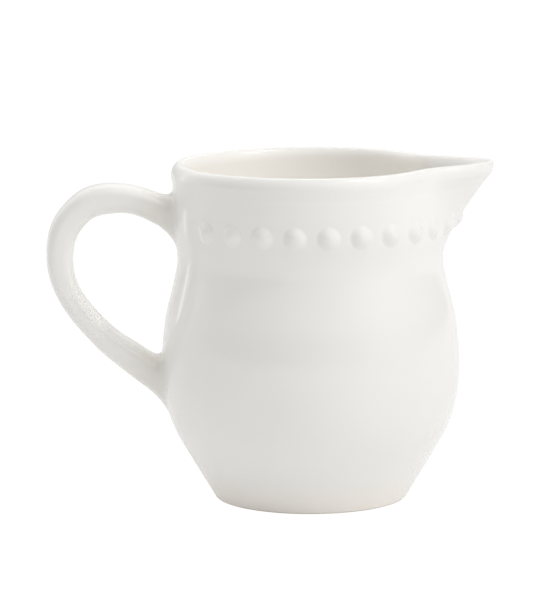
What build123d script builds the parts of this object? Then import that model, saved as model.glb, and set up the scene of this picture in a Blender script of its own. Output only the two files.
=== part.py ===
from build123d import *
from math import ceil, copysign, cos, exp, hypot, pi, radians, sin
import os

# Cream jug, slip-cast porcelain. Millimetres, +Z up, origin on the jug's axis in the standing plane.
# The spout points along +X and the loop handle along -X; the jug is the same on both sides of y = 0.

# Overall
HEIGHT = 108.0
WALL = 4.2

# Outer outline of the pot above its foot, as (height, radius), joined by one smooth curve
OUTLINE = [
    (5.0, 33.6),
    (14.0, 39.0),
    (24.0, 44.4),
    (34.0, 47.1),
    (44.0, 47.8),
    (58.0, 46.55),
    (70.0, 43.75),
    (77.5, 42.5),
    (88.0, 43.7),
    (101.5, 43.85),
]

# Rolled lip: a half ellipse standing on the wall
LIP_Z = 104.0
LIP_RADIUS = 41.95
LIP_HALF = 2.4

# Pinched spout: it grows from SPOUT_Z to the rim, pushed out in front and drawn in beside the tip
SPOUT_Z = 77.7
SPOUT_REACH = 21.7
SPOUT_SPREAD = radians(18.7)
PINCH_DEPTH = 6.1
PINCH_SPREAD = radians(34.3)
SPOUT_POWER = 2.2
SPOUT_EASE = 2.2
TIP_RISE = 0.4
TIP_RISE_FROM = 101.5
TIP_RISE_SPREAD = radians(22)

# Inside floor
FLOOR_Z = 8.5
FLOOR_RADIUS = 20.0
COVE_Z = 28.0

# Foot ring, luted round a shallow pad under the floor
FOOT_HEIGHT = 5.0
FOOT_BORE = 27.2
FOOT_OUTER = 31.1
FOOT_EDGE = 0.8
FOOT_BORE_EDGE = 0.6
FOOT_FLARE = 0.6
PAD_Z = 3.5

# Handle: centre line in the plane y = 0 as (x, z, thickness), from inside the collar to inside the belly
HANDLE_LINE = [
    (-38.5, 86.5, 9.4),
    (-45.8, 91.9, 9.2),
    (-56.2, 96.2, 8.8),
    (-65.7, 96.6, 9.7),
    (-72.3, 94.2, 9.5),
    (-78.5, 86.5, 9.3),
    (-79.9, 75.0, 8.3),
    (-76.1, 64.0, 7.6),
    (-65.6, 51.6, 8.1),
    (-56.6, 44.7, 9.3),
    (-47.1, 37.4, 9.6),
    (-40.6, 31.0, 9.6),
]
HANDLE_DEPTH = 13.6
HANDLE_SQUARENESS = 3.1

# Luting: slip smoothed round both roots of the handle, as (spread, reach along the handle)
LUTING_UPPER = (3.4, 7.5)
LUTING_LOWER = (3.4, 9.0)
LUTING_EDGE = 0.25
LUTING_ROOT = 4.0

# Applied beads in one row round the collar, left out where the handle stands
BEAD_SLOTS = 26
BEAD_HANDLE_GAP = 5
BEAD_Z = 89.4
BEAD_RADIUS = 3.6
BEAD_RISE = 1.25

# Film of slip under everything that is stuck on to the pot
SLIP_FILM = 0.01

# Modelling fineness
ROUND_POINTS = 72
LIP_STEPS = 8
WALL_STEP = 4.0
COVE_STEPS = 6
HANDLE_POINTS = 24
HANDLE_STEP = 3.5
LUTING_STEPS = 5


def smooth_curve(knots, at):
    """Value at one place of a smooth curve through (place, value) knots."""
    places = [k[0] for k in knots]
    values = [k[1] for k in knots]
    last = len(knots) - 1
    slopes = []
    for i in range(last + 1):
        a = max(i - 1, 0)
        b = min(i + 1, last)
        slopes.append((values[b] - values[a]) / (places[b] - places[a]))
    i = 0
    while i < last - 1 and at > places[i + 1]:
        i += 1
    span = places[i + 1] - places[i]
    t = (at - places[i]) / span
    near = (2 * t**3 - 3 * t**2 + 1) * values[i] + (t**3 - 2 * t**2 + t) * span * slopes[i]
    far = (3 * t**2 - 2 * t**3) * values[i + 1] + (t**3 - t**2) * span * slopes[i + 1]
    return near + far


def spout_push(angle):
    """How far the rim stands out of round at an angle from the spout."""
    out = SPOUT_REACH * exp(-((angle / SPOUT_SPREAD) ** 2))
    drawn_in = PINCH_DEPTH * exp(-((angle / PINCH_SPREAD) ** 2))
    return out - drawn_in


def spout_share(z):
    """Share of the spout's full push at a height."""
    t = max(0.0, (z - SPOUT_Z) / (HEIGHT - SPOUT_Z))
    return t**SPOUT_POWER * (SPOUT_EASE - (SPOUT_EASE - 1) * t)


def wall_point(angle, z, radius, offset):
    """Point of the level outline of a radius at z, moved off it by an offset along its normal."""
    turn = 1e-4
    ends = []
    for a in (angle - turn, angle + turn):
        r = radius + spout_share(z) * spout_push(a)
        ends.append((r * cos(a), r * sin(a)))
    dx = ends[1][0] - ends[0][0]
    dy = ends[1][1] - ends[0][1]
    length = hypot(dx, dy)
    x = (ends[0][0] + ends[1][0]) / 2 + offset * dy / length
    y = (ends[0][1] + ends[1][1]) / 2 - offset * dx / length
    rise = max(0.0, (z - TIP_RISE_FROM) / (HEIGHT - TIP_RISE_FROM))
    lift = TIP_RISE * rise * exp(-((angle / TIP_RISE_SPREAD) ** 2))
    return Vector(x, y, z + lift)


def closed_curve(points):
    """Smooth closed curve through points, evenly parametrised so that neighbouring curves match."""
    count = len(points)
    places = [i / count for i in range(count + 1)]
    return Wire([Edge.make_spline(points, parameters=places, periodic=True)])


def outer_point(angle, z):
    """Point of the pot's outside."""
    return wall_point(angle, z, smooth_curve(OUTLINE, z) - LIP_HALF, LIP_HALF)


def ring_wire(z, radius, offset):
    """Closed outline of the wall at one height."""
    points = []
    for i in range(ROUND_POINTS):
        angle = -pi + 2 * pi * i / ROUND_POINTS
        points.append(wall_point(angle, z, radius, offset))
    return closed_curve(points)


def spaced(start, end, step):
    """Evenly spaced places from start to end, about a step apart."""
    count = max(1, ceil(abs(end - start) / step))
    return [start + (end - start) * i / count for i in range(count + 1)]


def outer_rings(top):
    """Level outlines of the outside, from the foot up to a height."""
    rings = []
    for z in spaced(OUTLINE[0][0], top, WALL_STEP):
        rings.append((z, smooth_curve(OUTLINE, z) - LIP_HALF, LIP_HALF))
    return rings


def lip_rings():
    """Outlines over the rolled lip, from outside to inside."""
    rings = []
    for i in range(LIP_STEPS + 1):
        turn = pi * i / LIP_STEPS
        z = LIP_Z + (HEIGHT - LIP_Z) * sin(turn)
        rings.append((z, LIP_RADIUS, LIP_HALF * cos(turn)))
    return rings


def inner_rings():
    """Level outlines of the inside, from under the lip down to the floor."""
    top = OUTLINE[-1][0]
    rings = []
    for z in spaced(top, COVE_Z, WALL_STEP):
        rings.append((z, smooth_curve(OUTLINE, z) - LIP_HALF, LIP_HALF - WALL))
    cove_radius = smooth_curve(OUTLINE, COVE_Z) - WALL
    for i in range(1, COVE_STEPS + 1):
        turn = pi / 2 * i / COVE_STEPS
        z = COVE_Z - (COVE_Z - FLOOR_Z) * sin(turn)
        radius = FLOOR_RADIUS + (cove_radius - FLOOR_RADIUS) * cos(turn)
        rings.append((z, radius, 0.0))
    return rings


def ring_loft(rings):
    """Solid through a list of level outlines."""
    return Solid.make_loft([ring_wire(*ring) for ring in rings])


def make_body():
    """The cast pot: one skin up the outside, over the lip and down the inside, and the pad under it."""
    shell = ring_loft(outer_rings(OUTLINE[-1][0]) + lip_rings() + inner_rings())
    pad = Pos(0, 0, PAD_Z) * Cylinder(
        FOOT_BORE, FOOT_HEIGHT + 1 - PAD_Z, align=(Align.CENTER, Align.CENTER, Align.MIN)
    )
    return shell.fuse(pad).solids()[0]


def make_outside():
    """The pot's outside with its film of slip as a filled form, to trim what is stuck on to it."""
    rings = outer_rings(OUTLINE[-1][0])
    return ring_loft([(z, radius, offset + SLIP_FILM) for z, radius, offset in rings])


def line_lengths():
    """Distance along the handle's centre line at each of its points."""
    lengths = [0.0]
    for a, b in zip(HANDLE_LINE, HANDLE_LINE[1:]):
        lengths.append(lengths[-1] + hypot(b[0] - a[0], b[1] - a[1]))
    return lengths


def handle_station(at):
    """Centre, direction and thickness of the handle at a distance along its centre line."""
    lengths = line_lengths()
    curves = [[(s, p[k]) for s, p in zip(lengths, HANDLE_LINE)] for k in range(3)]
    step = 0.01
    x, z, thickness = [smooth_curve(curve, at) for curve in curves]
    dx = smooth_curve(curves[0], at + step) - x
    dz = smooth_curve(curves[1], at + step) - z
    length = hypot(dx, dz)
    return x, z, dx / length, dz / length, thickness


def handle_wire(at, spread):
    """Rounded-square section of the handle, widened all round by a spread."""
    x, z, dx, dz, thickness = handle_station(at)
    power = 2 / HANDLE_SQUARENESS
    points = []
    for i in range(HANDLE_POINTS):
        turn = 2 * pi * i / HANDLE_POINTS
        across = copysign(abs(cos(turn)) ** power, cos(turn)) * (thickness / 2 + spread)
        deep = copysign(abs(sin(turn)) ** power, sin(turn)) * (HANDLE_DEPTH / 2 + spread)
        points.append(Vector(x - dz * across, deep, z + dx * across))
    return closed_curve(points)


def biggest(shape):
    """Largest solid of a cut result."""
    return max(shape.solids(), key=lambda solid: solid.volume)


def make_handle(outside):
    """Moulded strap handle, its two ends cut to the curve of the pot."""
    stations = spaced(0.0, line_lengths()[-1], HANDLE_STEP)
    strap = Solid.make_loft([handle_wire(at, 0.0) for at in stations])
    return biggest(strap.cut(outside))


def root_distance(forward):
    """Distance along the centre line at which the handle passes through the pot's surface."""
    end = line_lengths()[-1]
    at = 0.0 if forward else end
    step = 0.1 if forward else -0.1
    while True:
        x, z = handle_station(at)[:2]
        if -x > smooth_curve(OUTLINE, z):
            return at
        at += step


def make_luting(forward, spread, reach, outside, handle):
    """Slip fillet round one root of the handle, from the pot's surface out along the strap."""
    root = root_distance(forward)
    way = 1 if forward else -1
    wires = [handle_wire(root - way * LUTING_ROOT, spread + LUTING_EDGE)]
    for i in range(LUTING_STEPS + 1):
        t = i / LUTING_STEPS
        wires.append(handle_wire(root + way * reach * t, spread * (1 - t) ** 2 + LUTING_EDGE))
    return biggest(Solid.make_loft(wires).cut(outside).cut(handle))


def make_foot_ring():
    """Foot ring with a rounded tread; its outside carries on the line of the pot down to the tread."""
    top_radius = OUTLINE[0][1]
    with BuildPart() as ring:
        with BuildSketch(Plane.XZ):
            with BuildLine():
                Polyline(
                    (FOOT_OUTER, 0),
                    (FOOT_BORE, 0),
                    (FOOT_BORE, FOOT_HEIGHT),
                    (top_radius, FOOT_HEIGHT),
                    (FOOT_OUTER + FOOT_FLARE, FOOT_EDGE * 2),
                    (FOOT_OUTER, 0),
                )
            make_face()
        revolve(axis=Axis.Z)
        tread = ring.edges().filter_by(GeomType.CIRCLE).filter_by_position(Axis.Z, -0.01, 0.01)
        fillet(tread.sort_by(SortBy.RADIUS)[-1], FOOT_EDGE)
        fillet(tread.sort_by(SortBy.RADIUS)[0], FOOT_BORE_EDGE)
    return ring.part.solids()[0]


def make_bead(angle, outside):
    """Low round bead standing on the collar, its back cut to the collar's curve."""
    ball = (BEAD_RADIUS**2 + BEAD_RISE**2) / (2 * BEAD_RISE)
    step = 0.01
    point = outer_point(angle, BEAD_Z)
    along = outer_point(angle + step, BEAD_Z) - point
    up = outer_point(angle, BEAD_Z + step) - point
    centre = point - along.cross(up).normalized() * (ball - BEAD_RISE)
    return biggest(Solid.make_sphere(ball, Plane(centre)).cut(outside))


def bead_angles():
    """Angles of the beads from the spout, starting at the slot after the handle."""
    pitch = 2 * pi / BEAD_SLOTS
    first = -pi + pitch * (BEAD_HANDLE_GAP + 1) / 2
    return [first + pitch * i for i in range(BEAD_SLOTS - BEAD_HANDLE_GAP)]


def main():
    os.makedirs("parts", exist_ok=True)
    outside = make_outside()
    handle = make_handle(outside)
    parts = {
        "body": make_body(),
        "foot_ring": make_foot_ring(),
        "handle": handle,
        "handle_upper_luting": make_luting(True, *LUTING_UPPER, outside, handle),
        "handle_lower_luting": make_luting(False, *LUTING_LOWER, outside, handle),
    }
    for i, angle in enumerate(bead_angles()):
        parts[f"bead_{i + 1:02d}"] = make_bead(angle, outside)
    for name, part in parts.items():
        export_step(part, f"parts/{name}.step")


main()
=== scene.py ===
from math import atan2, ceil, copysign, cos, exp, hypot, pi, radians, sin

import bpy
from mathutils import Matrix, Vector


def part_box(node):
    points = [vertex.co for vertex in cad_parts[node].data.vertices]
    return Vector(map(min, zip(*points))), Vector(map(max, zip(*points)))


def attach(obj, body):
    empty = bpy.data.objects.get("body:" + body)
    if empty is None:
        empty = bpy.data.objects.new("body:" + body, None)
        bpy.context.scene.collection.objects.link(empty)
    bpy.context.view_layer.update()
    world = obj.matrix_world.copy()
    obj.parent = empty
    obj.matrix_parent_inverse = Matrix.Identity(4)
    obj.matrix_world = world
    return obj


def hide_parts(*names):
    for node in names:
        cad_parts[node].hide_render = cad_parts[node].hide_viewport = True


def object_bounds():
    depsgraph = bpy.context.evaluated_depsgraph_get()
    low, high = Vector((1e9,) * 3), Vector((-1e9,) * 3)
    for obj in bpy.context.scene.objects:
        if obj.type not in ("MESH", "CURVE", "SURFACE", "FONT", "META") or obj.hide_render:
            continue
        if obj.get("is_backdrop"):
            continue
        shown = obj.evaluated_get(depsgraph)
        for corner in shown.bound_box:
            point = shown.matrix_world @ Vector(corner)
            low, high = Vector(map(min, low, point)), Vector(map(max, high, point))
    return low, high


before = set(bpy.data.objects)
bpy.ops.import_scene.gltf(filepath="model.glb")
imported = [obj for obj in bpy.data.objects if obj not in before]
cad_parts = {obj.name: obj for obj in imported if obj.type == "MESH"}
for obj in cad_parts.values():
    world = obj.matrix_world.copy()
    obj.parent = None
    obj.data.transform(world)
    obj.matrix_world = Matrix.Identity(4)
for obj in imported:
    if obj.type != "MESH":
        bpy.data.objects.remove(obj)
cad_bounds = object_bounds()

MM = 0.001

# ---- The jug's shape in millimetres, in the frame of the CAD part: +Z up, spout at +X, handle at -X

HEIGHT = 108.0
WALL = 4.2
# Outside of the pot from the foot ring up to the lip: z, radius
OUTLINE = [
    (5.0, 33.6),
    (14.0, 39.0),
    (24.0, 44.4),
    (34.0, 47.1),
    (44.0, 47.8),
    (58.0, 46.55),
    (70.0, 43.75),
    (77.5, 42.5),
    (88.0, 43.7),
    (101.5, 43.85),
]
LIP_Z = 104.0
LIP_RADIUS = 41.95
LIP_HALF = 2.4

SPOUT_Z = 77.7
SPOUT_REACH = 21.7
SPOUT_SPREAD = radians(18.7)
PINCH_DEPTH = 6.1
PINCH_SPREAD = radians(34.3)
SPOUT_POWER = 2.2
SPOUT_EASE = 2.2
TIP_RISE = 0.4
TIP_RISE_FROM = 101.5
TIP_RISE_SPREAD = radians(22)

FLOOR_Z = 8.5
FLOOR_RADIUS = 20.0
COVE_Z = 28.0

FOOT_HEIGHT = 5.0
FOOT_BORE = 27.2
FOOT_EDGE = 1.1
FOOT_BORE_EDGE = 0.6
PAD_Z = 3.5

# Centre line of the handle from its upper root to its lower one: x, z, thickness
HANDLE_LINE = [
    (-38.5, 86.5, 9.4),
    (-45.8, 91.9, 9.2),
    (-56.2, 96.2, 8.8),
    (-65.7, 96.6, 9.7),
    (-72.3, 94.2, 9.5),
    (-78.5, 86.5, 9.3),
    (-79.9, 75.0, 8.3),
    (-76.1, 64.0, 7.6),
    (-65.6, 51.6, 8.1),
    (-56.6, 44.7, 9.3),
    (-47.1, 37.4, 9.6),
    (-40.6, 31.0, 9.6),
]
HANDLE_DEPTH = 13.6
HANDLE_SQUARENESS = 3.1
HANDLE_INSET = 3.0

BEAD_SKIRT = 3.9
BEAD_RISE = 1.3
BEAD_FALL = 1.6
BEAD_SINK = 0.012


def smooth_curve(knots, at):
    """Value at one place of a smooth curve through (place, value) knots."""
    places = [k[0] for k in knots]
    values = [k[1] for k in knots]
    last = len(knots) - 1
    i = 0
    while i < last - 1 and at > places[i + 1]:
        i += 1

    def slope(k):
        a, b = max(k - 1, 0), min(k + 1, last)
        return (values[b] - values[a]) / (places[b] - places[a])

    span = places[i + 1] - places[i]
    t = (at - places[i]) / span
    near = (2 * t**3 - 3 * t**2 + 1) * values[i] + (t**3 - 2 * t**2 + t) * span * slope(i)
    far = (3 * t**2 - 2 * t**3) * values[i + 1] + (t**3 - t**2) * span * slope(i + 1)
    return near + far


def spout_push(angle):
    """How far the rim stands out of round at an angle from the spout."""
    out = SPOUT_REACH * exp(-((angle / SPOUT_SPREAD) ** 2))
    return out - PINCH_DEPTH * exp(-((angle / PINCH_SPREAD) ** 2))


def spout_share(z):
    """Share of the spout's full push at a height."""
    t = max(0.0, (z - SPOUT_Z) / (HEIGHT - SPOUT_Z))
    return t**SPOUT_POWER * (SPOUT_EASE - (SPOUT_EASE - 1) * t)


def wall_point(angle, z, radius, offset):
    """Point of the level outline of a radius at z, moved off it by an offset along its normal."""
    angle = (angle + pi) % (2 * pi) - pi
    turn = 1e-4
    ends = []
    for a in (angle - turn, angle + turn):
        r = radius + spout_share(z) * spout_push(a)
        ends.append((r * cos(a), r * sin(a)))
    dx = ends[1][0] - ends[0][0]
    dy = ends[1][1] - ends[0][1]
    length = hypot(dx, dy)
    x = (ends[0][0] + ends[1][0]) / 2 + offset * dy / length
    y = (ends[0][1] + ends[1][1]) / 2 - offset * dx / length
    rise = max(0.0, (z - TIP_RISE_FROM) / (HEIGHT - TIP_RISE_FROM))
    lift = TIP_RISE * rise * exp(-((angle / TIP_RISE_SPREAD) ** 2))
    return Vector((x, y, z + lift))


def outer_point(angle, z):
    """Point of the pot's outside."""
    return wall_point(angle, z, smooth_curve(OUTLINE, z) - LIP_HALF, LIP_HALF)


def outer_normal(angle, z):
    """Outward normal of the pot's outside."""
    step = 0.01
    point = outer_point(angle, z)
    along = outer_point(angle + step, z) - point
    up = outer_point(angle, z + step) - point
    return along.cross(up).normalized()


def spaced(start, end, step):
    """Evenly spaced places from start to end, about a step apart."""
    count = max(1, ceil(abs(end - start) / step))
    return [start + (end - start) * i / count for i in range(count + 1)]


# ---- Mesh building

SQUARE_EDGE = radians(50)

# Fineness of the meshes: counts, and steps in millimetres
ROUND = 288
OUTSIDE_STEP = 1.25
INSIDE_STEP = 1.6
LIP_STEPS = 28
COVE_STEPS = 24
FOOT_STEP = 0.5
FOOT_EDGE_STEPS = 10
FOOT_BORE_STEPS = 6
HANDLE_ROUND = 64
HANDLE_STEP = 1.1
LUTING_STEPS = 12
BEAD_ROUND = 40
BEAD_STEPS = 14


def make_object(name, points, faces, material):
    """Mesh object from points in millimetres, smooth shaded apart from its square edges."""
    mesh = bpy.data.meshes.new(name)
    mesh.from_pydata([p * MM for p in points], [], faces)
    mesh.validate()
    mesh.update()
    mesh.polygons.foreach_set("use_smooth", [True] * len(mesh.polygons))
    mesh.set_sharp_from_angle(angle=SQUARE_EDGE)
    mesh.materials.append(material)
    obj = bpy.data.objects.new(name, mesh)
    bpy.context.scene.collection.objects.link(obj)
    return obj


def skin(rings, closed=False, start_cap=None, end_cap=None):
    """Quads between rings of points; a cap is a centre point fanned to the first or last ring."""
    count = len(rings[0])
    points = [p for ring in rings for p in ring]
    faces = []
    total = len(rings)
    for j in range(total if closed else total - 1):
        a = j * count
        b = (j + 1) % total * count
        for i in range(count):
            k = (i + 1) % count
            faces.append((a + i, a + k, b + k, b + i))
    if start_cap is not None:
        points.append(start_cap)
        c = len(points) - 1
        faces += [(c, (i + 1) % count, i) for i in range(count)]
    if end_cap is not None:
        points.append(end_cap)
        c = len(points) - 1
        a = (total - 1) * count
        faces += [(a + i, a + (i + 1) % count, c) for i in range(count)]
    return points, faces


def angles(count):
    """Even angles right round, starting at the handle side."""
    return [-pi + 2 * pi * i / count for i in range(count)]


def circle_ring(radius, z):
    """Level ring of points about the jug's axis."""
    return [Vector((radius * cos(a), radius * sin(a), z)) for a in angles(ROUND)]


# ---- Pot and foot


def wall_ring(z, radius, offset):
    """Ring of points of the pot's wall."""
    return [wall_point(a, z, radius, offset) for a in angles(ROUND)]


def build_body(material):
    """The cast pot: up the outside, over the rolled lip and down to the inside floor."""
    top = OUTLINE[-1][0]
    rings = [circle_ring(FOOT_BORE, PAD_Z), circle_ring(FOOT_BORE, FOOT_HEIGHT)]
    for z in spaced(OUTLINE[0][0], top, OUTSIDE_STEP):
        rings.append(wall_ring(z, smooth_curve(OUTLINE, z) - LIP_HALF, LIP_HALF))
    for i in range(LIP_STEPS + 1):
        turn = pi * i / LIP_STEPS
        z = LIP_Z + (HEIGHT - LIP_Z) * sin(turn)
        rings.append(wall_ring(z, LIP_RADIUS, LIP_HALF * cos(turn)))
    for z in spaced(top, COVE_Z, INSIDE_STEP):
        rings.append(wall_ring(z, smooth_curve(OUTLINE, z) - LIP_HALF, LIP_HALF - WALL))
    cove_radius = smooth_curve(OUTLINE, COVE_Z) - WALL
    for i in range(1, COVE_STEPS + 1):
        turn = pi / 2 * i / COVE_STEPS
        z = COVE_Z - (COVE_Z - FLOOR_Z) * sin(turn)
        rings.append(circle_ring(FLOOR_RADIUS + (cove_radius - FLOOR_RADIUS) * cos(turn), z))
    rings.append(circle_ring(FLOOR_RADIUS / 2, FLOOR_Z))
    points, faces = skin(rings, start_cap=Vector((0, 0, PAD_Z)), end_cap=Vector((0, 0, FLOOR_Z)))
    return make_object("Pot", points, faces, material)


def build_foot(material):
    """Foot ring, its outside running on from the pot and its tread rounded at both edges."""
    slope = (OUTLINE[1][1] - OUTLINE[0][1]) / (OUTLINE[1][0] - OUTLINE[0][0])
    lean = atan2(slope, 1.0)
    centre_r = OUTLINE[0][1] - slope * (FOOT_HEIGHT - FOOT_EDGE) - FOOT_EDGE / cos(lean)
    section = []
    for z in spaced(FOOT_HEIGHT, FOOT_EDGE - FOOT_EDGE * sin(lean), FOOT_STEP):
        section.append((OUTLINE[0][1] - slope * (FOOT_HEIGHT - z), z))
    for i in range(1, FOOT_EDGE_STEPS + 1):
        turn = -lean - (pi / 2 - lean) * i / FOOT_EDGE_STEPS
        section.append((centre_r + FOOT_EDGE * cos(turn), FOOT_EDGE + FOOT_EDGE * sin(turn)))
    for i in range(FOOT_BORE_STEPS + 1):
        turn = -pi / 2 - pi / 2 * i / FOOT_BORE_STEPS
        r = FOOT_BORE + FOOT_BORE_EDGE + FOOT_BORE_EDGE * cos(turn)
        section.append((r, FOOT_BORE_EDGE + FOOT_BORE_EDGE * sin(turn)))
    section.append((FOOT_BORE, PAD_Z))
    section.append((FOOT_BORE, FOOT_HEIGHT))
    points, faces = skin([circle_ring(r, z) for r, z in section], closed=True)
    faces = [tuple(reversed(f)) for f in faces]
    return make_object("Foot_ring", points, faces, material)


# ---- Handle and its luting

line_lengths = [0.0]
for p, q in zip(HANDLE_LINE, HANDLE_LINE[1:]):
    line_lengths.append(line_lengths[-1] + hypot(q[0] - p[0], q[1] - p[1]))
line_curves = [[(s, p[k]) for s, p in zip(line_lengths, HANDLE_LINE)] for k in range(3)]


def handle_point(at, turn, spread=0.0):
    """Point of the handle's skin at a distance along its centre line and a turn round it."""
    step = 0.01
    x, z, thickness = [smooth_curve(curve, at) for curve in line_curves]
    dx = smooth_curve(line_curves[0], at + step) - x
    dz = smooth_curve(line_curves[1], at + step) - z
    length = hypot(dx, dz)
    power = 2 / HANDLE_SQUARENESS
    across = copysign(abs(cos(turn)) ** power, cos(turn)) * (thickness / 2 + spread)
    deep = copysign(abs(sin(turn)) ** power, sin(turn)) * (HANDLE_DEPTH / 2 + spread)
    return Vector((x - dz / length * across, deep, z + dx / length * across))


section_turns = [2 * pi * i / HANDLE_ROUND for i in range(HANDLE_ROUND)]


def build_handle(material):
    """Strap handle, running just into the wall at both ends."""
    rings = []
    for at in spaced(HANDLE_INSET, line_lengths[-1] - HANDLE_INSET, HANDLE_STEP):
        rings.append([handle_point(at, t) for t in section_turns])
    caps = [sum(ring, Vector()) / len(ring) for ring in (rings[0], rings[-1])]
    points, faces = skin(rings, start_cap=caps[0], end_cap=caps[1])
    return make_object("Handle", points, faces, material)


def outside_gap(point):
    """How far a point lies outside the pot, measured level."""
    angle = atan2(point.y, point.x)
    skin_point = outer_point(angle, point.z)
    return hypot(point.x, point.y) - hypot(skin_point.x, skin_point.y)


ROOT_REACH = 30.0
ROOT_HALVINGS = 40


def root_of(turn, forward):
    """Distance along the handle at which one line of its skin meets the pot."""
    inside = HANDLE_INSET if forward else line_lengths[-1] - HANDLE_INSET
    outside = inside + (ROOT_REACH if forward else -ROOT_REACH)
    for _ in range(ROOT_HALVINGS):
        middle = (inside + outside) / 2
        if outside_gap(handle_point(middle, turn)) > 0:
            outside = middle
        else:
            inside = middle
    return (inside + outside) / 2


def on_pot(point, sunk=0.0):
    """The nearest point of the pot's outside, level with a point, sunk by a little."""
    angle = atan2(point.y, point.x)
    skin_point = outer_point(angle, point.z)
    return skin_point - outer_normal(angle, point.z) * sunk


# The luting's hidden back runs a little inside its two edges and below both surfaces
LUTING_BACK = 0.9
LUTING_SINK = 0.4
LUTING_CORNER_SINK = 0.6
LUTING_CORNER_IN = 0.5


def build_luting(name, forward, on_handle, on_wall, material):
    """Smoothed slip in the corner between the handle and the pot."""
    way = 1 if forward else -1
    roots = [root_of(t, forward) for t in section_turns]
    corners = [handle_point(root, t) for root, t in zip(roots, section_turns)]
    centre = sum(corners, Vector()) / len(corners)
    rings = [[] for _ in range(LUTING_STEPS + 4)]
    for t, root, corner in zip(section_turns, roots, corners):
        start = handle_point(root + way * on_handle, t)
        normal = outer_normal(atan2(corner.y, corner.x), corner.z)
        away = corner - centre
        away = (away - normal * away.dot(normal)).normalized()
        end = on_pot(corner + away * on_wall)
        for i in range(LUTING_STEPS + 1):
            u = i / LUTING_STEPS
            point = start * (1 - u) ** 2 + corner * 2 * u * (1 - u) + end * u**2
            rings[i].append(point)
        back_ring, corner_ring, handle_ring = rings[LUTING_STEPS + 1:]
        back_ring.append(on_pot(corner + away * on_wall * LUTING_BACK, LUTING_SINK))
        corner_ring.append(on_pot(corner, LUTING_CORNER_SINK) - away * LUTING_CORNER_IN)
        handle_ring.append(handle_point(root + way * on_handle * LUTING_BACK, t, -LUTING_SINK))
    points, faces = skin(rings, closed=True)
    if not forward:
        faces = [tuple(reversed(f)) for f in faces]
    return make_object(name, points, faces, material)


# ---- Beads

# The bead's hidden back: its ring's share of the skirt, and how deep its ring and middle lie
BEAD_BACK = 0.96
BEAD_BACK_SINK = 0.5
BEAD_MIDDLE_SINK = 0.6


def bead_rise(out):
    """Height of a bead's skin over the wall at a distance from its middle."""
    t = out / BEAD_SKIRT
    return (BEAD_RISE + BEAD_SINK) * (1 - t**2) ** BEAD_FALL - BEAD_SINK


def bead_ring(angle, height, out, rise):
    """Ring of points round a place on the pot's outside, raised off the wall."""
    small_turn, small_step = 0.001, 0.1
    here = outer_point(angle, height)
    per_angle = (outer_point(angle + small_turn, height) - here).length / small_turn
    per_height = (outer_point(angle, height + small_step) - here).length / small_step
    ring = []
    for i in range(BEAD_ROUND):
        turn = 2 * pi * i / BEAD_ROUND
        at = (angle + out * cos(turn) / per_angle, height + out * sin(turn) / per_height)
        ring.append(outer_point(*at) + outer_normal(*at) * rise)
    return ring


def build_bead(name, node, material):
    """Low bead on the collar, its edge running softly into the wall."""
    low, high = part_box(node)
    middle = (Vector(low) + Vector(high)) / 2 / MM
    angle, height = atan2(middle.y, middle.x), middle.z
    rings = []
    for j in range(1, BEAD_STEPS + 1):
        out = BEAD_SKIRT * j / BEAD_STEPS
        rings.append(bead_ring(angle, height, out, bead_rise(out)))
    rings.append(bead_ring(angle, height, BEAD_SKIRT * BEAD_BACK, -BEAD_BACK_SINK))
    here, normal = outer_point(angle, height), outer_normal(angle, height)
    points, faces = skin(
        rings,
        start_cap=here + normal * bead_rise(0.0),
        end_cap=here - normal * BEAD_MIDDLE_SINK,
    )
    return make_object(name, points, faces, material)


# ---- Materials


def new_material(name):
    """Empty node material with its shader and output."""
    material = bpy.data.materials.new(name)
    material.use_nodes = True
    tree = material.node_tree
    tree.nodes.clear()
    shader = tree.nodes.new("ShaderNodeBsdfPrincipled")
    output = tree.nodes.new("ShaderNodeOutputMaterial")
    tree.links.new(shader.outputs["BSDF"], output.inputs["Surface"])
    return material, tree, shader


def add_noise(tree, coords, scale, detail):
    """Noise texture node on object coordinates."""
    noise = tree.nodes.new("ShaderNodeTexNoise")
    noise.inputs["Scale"].default_value = scale
    noise.inputs["Detail"].default_value = detail
    noise.inputs["Roughness"].default_value = 0.5
    tree.links.new(coords, noise.inputs["Vector"])
    return noise.outputs["Fac"]


def add_ramp(tree, value, stops):
    """Colour ramp node over (place, colour) stops."""
    ramp = tree.nodes.new("ShaderNodeValToRGB")
    elements = ramp.color_ramp.elements
    while len(elements) > 1:
        elements.remove(elements[-1])
    elements[0].position, elements[0].color = stops[0][0], (*stops[0][1], 1)
    for place, colour in stops[1:]:
        elements.new(place).color = (*colour, 1)
    tree.links.new(value, ramp.inputs["Fac"])
    return ramp.outputs["Color"]


def add_map(tree, value, low, high, to_low, to_high, shape="LINEAR"):
    """Value carried over from one range to another."""
    node = tree.nodes.new("ShaderNodeMapRange")
    node.interpolation_type = shape
    node.inputs["From Min"].default_value = low
    node.inputs["From Max"].default_value = high
    node.inputs["To Min"].default_value = to_low
    node.inputs["To Max"].default_value = to_high
    tree.links.new(value, node.inputs["Value"])
    return node.outputs["Result"]


def math_node(tree, operation, *values):
    """Math node over node outputs and fixed numbers."""
    node = tree.nodes.new("ShaderNodeMath")
    node.operation = operation
    for socket, value in zip(node.inputs, values):
        if isinstance(value, (int, float)):
            socket.default_value = value
        else:
            tree.links.new(value, socket)
    return node.outputs[0]


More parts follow.
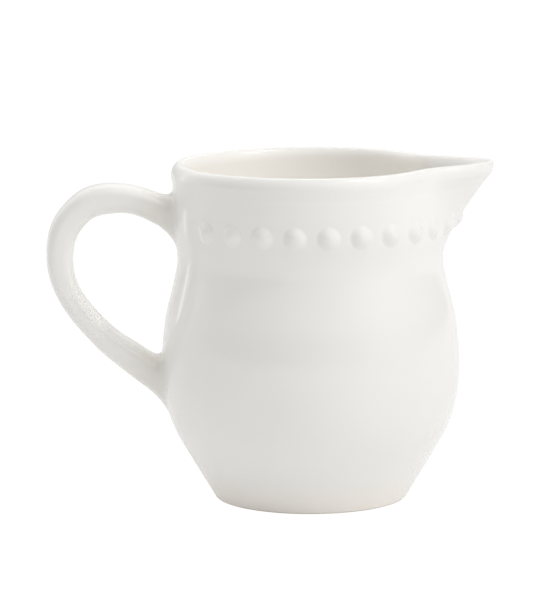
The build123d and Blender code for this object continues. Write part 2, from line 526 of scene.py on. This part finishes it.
def mix_colours(tree, share, first, second):
    """Colour mixed from two, each a node output or a fixed colour, by a share."""
    mix = tree.nodes.new("ShaderNodeMix")
    mix.data_type = "RGBA"
    tree.links.new(share, mix.inputs["Factor"])
    for name, colour in (("A", first), ("B", second)):
        socket = [i for i in mix.inputs if i.name == name and i.type == "RGBA"][0]
        if isinstance(colour, tuple):
            socket.default_value = (*colour, 1)
        else:
            tree.links.new(colour, socket)
    return [o for o in mix.outputs if o.type == "RGBA"][0]


GLAZE_LIGHT = (0.932, 0.918, 0.888)
GLAZE_DEEP = (0.918, 0.901, 0.866)
# Painted shade colour in the corners at the handle's roots
PAINTED_ROOT_SHADE = (0.80, 0.755, 0.69)
# Painted shade colour towards the foot
PAINTED_FOOT_SHADE = (0.925, 0.868, 0.795)
# Painted light colour inside the collar
PAINTED_INSIDE_LIGHT = (0.988, 0.965, 0.925)
BARE_CLAY = (0.78, 0.745, 0.69)

# Noise scales, per metre: the glaze's clouds, its uneven gloss, its ripple and the clay's grain
CLOUD_SCALE = 28.0
GLOSS_SCALE = 60.0
RIPPLE_SCALE = 55.0
GRAIN_SCALE = 2500.0

# Noise gives values about one half; what lies between these two is spread over the full range
NOISE_LOW, NOISE_HIGH = 0.3, 0.7

# The surface, with depths in metres
ROUGHNESS = (0.06, 0.14)
CLAY_DULLNESS = 0.55
RIPPLE_STRENGTH = 0.08
RIPPLE_DEPTH = 0.0005
GRAIN_DEPTH = 0.0001
GLAZE_IOR = 1.5

# Painted shade in the corners at the handle's two roots, as (place, reach) in metres
ROOT_SHADE_SPOTS = [((-0.0475, 0.0, 0.0915), 0.017), ((-0.0485, 0.0, 0.0405), 0.018)]
# Painted shade at the roots: its share at the core, and the core's part of the reach
ROOT_SHADE_SHARE = 0.6
ROOT_SHADE_CORE = 0.15
# Painted shade towards the foot: the height in metres it runs out at, and its share at the bottom
FOOT_SHADE_TOP = 0.014
FOOT_SHADE_SHARE = 0.5
TREAD_LINE = (0.00042, 0.0007)

# Painted light inside the collar: the radius it starts at and the height it comes in over, in metres
INSIDE_LIGHT_RADIUS = (0.0385, 0.041)
INSIDE_LIGHT_HEIGHT = (0.05, 0.065)


def painted_root_shade_share(tree, coords, place, reach):
    """Share of painted shade near one corner, running out smoothly."""
    distance = tree.nodes.new("ShaderNodeVectorMath")
    distance.operation = "DISTANCE"
    distance.inputs[1].default_value = place
    tree.links.new(coords, distance.inputs[0])
    gap = distance.outputs["Value"]
    return add_map(tree, gap, reach * ROOT_SHADE_CORE, reach, ROOT_SHADE_SHARE, 0.0, "SMOOTHSTEP")


def painted_inside_light_share(tree, place):
    """Share of painted light inside the collar, from the parts of the object coordinates."""
    squares = [math_node(tree, "POWER", place.outputs[axis], 2.0) for axis in ("X", "Y")]
    radius = math_node(tree, "SQRT", math_node(tree, "ADD", *squares))
    inward = add_map(tree, radius, *INSIDE_LIGHT_RADIUS, 1.0, 0.0, "SMOOTHSTEP")
    upward = add_map(tree, place.outputs["Z"], *INSIDE_LIGHT_HEIGHT, 0.0, 1.0, "SMOOTHSTEP")
    return math_node(tree, "MULTIPLY", inward, upward)


def glaze_colour(tree, coords, place):
    """Clouded warm white, with painted shade at the handle's roots and towards the foot, and painted
    light inside the collar.
    """
    cloud = add_noise(tree, coords, CLOUD_SCALE, 3.0)
    colour = add_ramp(tree, cloud, [(NOISE_LOW, GLAZE_DEEP), (NOISE_HIGH, GLAZE_LIGHT)])
    # Painted shade in the corners at the handle's roots
    for corner, reach in ROOT_SHADE_SPOTS:
        share = painted_root_shade_share(tree, coords, corner, reach)
        colour = mix_colours(tree, share, colour, PAINTED_ROOT_SHADE)
    # Painted shade, darker and warmer towards the foot
    height = place.outputs["Z"]
    low = add_map(tree, height, 0.0, FOOT_SHADE_TOP, FOOT_SHADE_SHARE, 0.0, "SMOOTHSTEP")
    colour = mix_colours(tree, low, colour, PAINTED_FOOT_SHADE)
    # Painted light inside the collar
    return mix_colours(tree, painted_inside_light_share(tree, place), colour, PAINTED_INSIDE_LIGHT)


def add_bump(tree, height, strength, depth):
    """Bump node over a height, its strength a fixed number or a node output."""
    bump = tree.nodes.new("ShaderNodeBump")
    bump.inputs["Distance"].default_value = depth
    if isinstance(strength, float):
        bump.inputs["Strength"].default_value = strength
    else:
        tree.links.new(strength, bump.inputs["Strength"])
    tree.links.new(height, bump.inputs["Height"])
    return bump


def glaze_material(name, bare_tread=False):
    """Clear glaze over warm white porcelain; a bare tread is dull clay with a fine grain."""
    material, tree, shader = new_material(name)
    coords = tree.nodes.new("ShaderNodeTexCoord").outputs["Object"]
    place = tree.nodes.new("ShaderNodeSeparateXYZ")
    tree.links.new(coords, place.inputs[0])
    colour = glaze_colour(tree, coords, place)
    gloss = add_noise(tree, coords, GLOSS_SCALE, 2.0)
    roughness = add_map(tree, gloss, NOISE_LOW, NOISE_HIGH, *ROUGHNESS)
    ripple = add_noise(tree, coords, RIPPLE_SCALE, 1.0)
    surface = add_bump(tree, ripple, RIPPLE_STRENGTH, RIPPLE_DEPTH)
    if bare_tread:
        tread = add_map(tree, place.outputs["Z"], *TREAD_LINE, 1.0, 0.0)
        colour = mix_colours(tree, tread, colour, BARE_CLAY)
        roughness = math_node(tree, "MULTIPLY_ADD", tread, CLAY_DULLNESS, roughness)
        grain = add_bump(tree, add_noise(tree, coords, GRAIN_SCALE, 3.0), tread, GRAIN_DEPTH)
        tree.links.new(surface.outputs["Normal"], grain.inputs["Normal"])
        surface = grain
    tree.links.new(colour, shader.inputs["Base Color"])
    tree.links.new(roughness, shader.inputs["Roughness"])
    tree.links.new(surface.outputs["Normal"], shader.inputs["Normal"])
    shader.inputs["IOR"].default_value = GLAZE_IOR
    return material


glaze = glaze_material("Glaze")
foot_glaze = glaze_material("Foot_glaze", bare_tread=True)

# ---- The object

# How far the slip reaches along the handle and over the wall, in millimetres
LUTING_UPPER = (6.5, 4.2)
LUTING_LOWER = (7.0, 4.4)

body = build_body(glaze)
foot = build_foot(foot_glaze)
handle = build_handle(glaze)
upper = build_luting("Handle_luting_upper", True, *LUTING_UPPER, glaze)
lower = build_luting("Handle_luting_lower", False, *LUTING_LOWER, glaze)
pieces = [
    (body, "body", "glaze"),
    (foot, "foot_ring", "foot_clay"),
    (handle, "handle", "glaze"),
    (upper, "handle_upper_luting", "glaze"),
    (lower, "handle_lower_luting", "glaze"),
]
for node in sorted(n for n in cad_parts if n.startswith("bead_")):
    pieces.append((build_bead(node.capitalize(), node, glaze), node, "glaze"))
for piece, node, slot in pieces:
    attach(piece, "root")
    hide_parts(node)

# ---- Stage

FLOOR_SIZE = 2.6
SURROUND_RADIUS = 2.5
STAGE_ROUND = 96
DOME_STEPS = 24
TABLE_GREY = 0.85
TABLE_GLOW = 0.12
WHITE_GLOW = 1.05


def toward(azimuth, elevation):
    """Unit vector in a direction."""
    level = cos(elevation)
    return Vector((cos(azimuth) * level, sin(azimuth) * level, sin(elevation)))


def paper_material(name, grey, glow):
    """Matt paper with a glow of its own."""
    material, tree, shader = new_material(name)
    shader.inputs["Base Color"].default_value = (grey, grey, grey, 1)
    shader.inputs["Roughness"].default_value = 0.9
    shader.inputs["Specular IOR Level"].default_value = 0.1
    shader.inputs["Emission Color"].default_value = (1, 1, 1, 1)
    shader.inputs["Emission Strength"].default_value = glow
    return material


def stage_mesh(name, points, faces, material):
    """Part of the stage, placed at the jug's foot."""
    mesh = bpy.data.meshes.new(name)
    mesh.from_pydata(points, [], faces)
    mesh.materials.append(material)
    obj = bpy.data.objects.new(name, mesh)
    obj.location.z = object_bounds()[0][2]
    bpy.context.scene.collection.objects.link(obj)
    obj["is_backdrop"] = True
    return obj


def floor_disc(name, radius, material):
    """Round level sheet of paper."""
    points = [Vector((radius * cos(a), radius * sin(a), 0)) for a in angles(STAGE_ROUND)]
    return stage_mesh(name, points, [tuple(range(len(points)))], material)


def surround_dome(name, radius, material):
    """Half ball of paper over the stage."""
    rings = []
    for j in range(DOME_STEPS):
        tilt = pi / 2 * j / DOME_STEPS
        rings.append([toward(a, tilt) * radius for a in angles(STAGE_ROUND)])
    points, faces = skin(rings, end_cap=Vector((0, 0, radius)))
    return stage_mesh(name, points, faces, material)


# The jug is lit by the studio through a white room that only the camera sees, and by the light
# that comes up off the table sheet.
table = floor_disc("Table", FLOOR_SIZE, paper_material("Table_paper", TABLE_GREY, TABLE_GLOW))
table.visible_camera = False
white = paper_material("White_paper", 0.0, WHITE_GLOW)
floor = floor_disc("Floor", FLOOR_SIZE, white)
surround = surround_dome("Surround", SURROUND_RADIUS, white)
for sheet in (floor, surround):
    sheet.visible_diffuse = False
    sheet.visible_glossy = False
    sheet.visible_transmission = False
    sheet.visible_shadow = False

# ---- Light

# Soft light as lobes of the surroundings: azimuth and elevation in degrees, strength
LOBE_SHARPNESS = 7.0
LOBES = [
    (-45, 48, 1.08),
    (-90, 48, 0.7),
    (0, 48, 0.6),
    (90, 48, 0.75),
    (135, 48, 0.7),
    (180, 48, 0.4),
    (-30, 5, 0.82),
    (60, 5, 0.5),
    (90, 5, 0.4),
    (150, 5, 1.1),
]
JUG_MIDDLE = (Vector(cad_bounds[0]) + Vector(cad_bounds[1])) / 2


def lobe_share(tree, direction, azimuth, elevation):
    """Brightness of one soft lobe of light, 1 along its axis."""
    dot = tree.nodes.new("ShaderNodeVectorMath")
    dot.operation = "DOT_PRODUCT"
    dot.inputs[1].default_value = toward(radians(azimuth), radians(elevation))
    tree.links.new(direction, dot.inputs[0])
    closeness = dot.outputs["Value"]
    fall = math_node(tree, "MULTIPLY_ADD", closeness, LOBE_SHARPNESS, -LOBE_SHARPNESS)
    return math_node(tree, "EXPONENT", fall)


def build_world():
    """White studio surroundings, brighter along each lobe."""
    world = bpy.data.worlds.new("Studio")
    bpy.context.scene.world = world
    world.use_nodes = True
    tree = world.node_tree
    direction = tree.nodes.new("ShaderNodeTexCoord").outputs["Generated"]
    total = 0.0
    for azimuth, elevation, strength in LOBES:
        share = lobe_share(tree, direction, azimuth, elevation)
        total = math_node(tree, "MULTIPLY_ADD", share, strength, total)
    background = tree.nodes["Background"]
    background.inputs["Color"].default_value = (1, 1, 1, 1)
    tree.links.new(total, background.inputs["Strength"])


def place_light(data, place, target):
    """Light object at a place, turned to face a target and unseen by the camera."""
    obj = bpy.data.objects.new(data.name, data)
    obj.location = place
    obj.rotation_euler = (place - target).to_track_quat("Z", "Y").to_euler()
    obj.visible_camera = False
    bpy.context.scene.collection.objects.link(obj)


def soft_box(name, azimuth, elevation, distance, size, radiance):
    """Lit panel that faces the jug's middle, with an even radiance over its face."""
    data = bpy.data.lights.new(name, "AREA")
    data.shape = "RECTANGLE"
    data.size, data.size_y = size
    data.energy = radiance * pi * size[0] * size[1]
    out = toward(radians(azimuth), radians(elevation))
    place_light(data, JUG_MIDDLE + out * distance, JUG_MIDDLE)


def well_spot(name, place, target, energy, cone, blend, radius):
    """Narrow spot into the well, soft enough to leave no edge."""
    data = bpy.data.lights.new(name, "SPOT")
    data.energy = energy
    data.spot_size = radians(cone)
    data.spot_blend = blend
    data.shadow_soft_size = radius
    place_light(data, Vector(place), Vector(target))


build_world()
soft_box("Soft_box", azimuth=-20, elevation=45, distance=1.2, size=(0.3, 0.3), radiance=3.0)
soft_box("Side_strip", azimuth=143, elevation=20, distance=0.4, size=(0.035, 0.5), radiance=0.9)
well_spot(
    "Well_spot",
    place=(0.26, -0.12, 0.62),
    target=(-0.004, 0.002, 0.104),
    energy=11.0,
    cone=5.2,
    blend=0.5,
    radius=0.06,
)

# ---- Camera

CAMERA_TARGET = Vector((-0.01295, 0.0, 0.06132))
CAMERA_DISTANCE = 1.1922
CAMERA_ELEVATION = radians(9.23)
CAMERA_AZIMUTH = radians(-0.12)
CAMERA_ROLL = radians(-0.29)
CAMERA_LENS = 218.1
CAMERA_SENSOR = 36.0

back = toward(CAMERA_AZIMUTH - pi / 2, CAMERA_ELEVATION)
right = (-back).cross(Vector((0, 0, 1))).normalized()
up = right.cross(-back)
turned_right = right * cos(CAMERA_ROLL) + up * sin(CAMERA_ROLL)
turned_up = up * cos(CAMERA_ROLL) - right * sin(CAMERA_ROLL)
camera_data = bpy.data.cameras.new("Camera")
camera_data.lens = CAMERA_LENS
camera_data.sensor_width = CAMERA_SENSOR
camera = bpy.data.objects.new("Camera", camera_data)
camera.matrix_world = Matrix.Translation(CAMERA_TARGET + back * CAMERA_DISTANCE) @ Matrix(
    (turned_right, turned_up, back)
).transposed().to_4x4()
bpy.context.scene.collection.objects.link(camera)
bpy.context.scene.camera = camera
bpy.context.scene.view_settings.view_transform = "Standard"

# White porcelain passes light on many times inside the well
DIFFUSE_BOUNCES = 12
bpy.context.scene.cycles.diffuse_bounces = DIFFUSE_BOUNCES
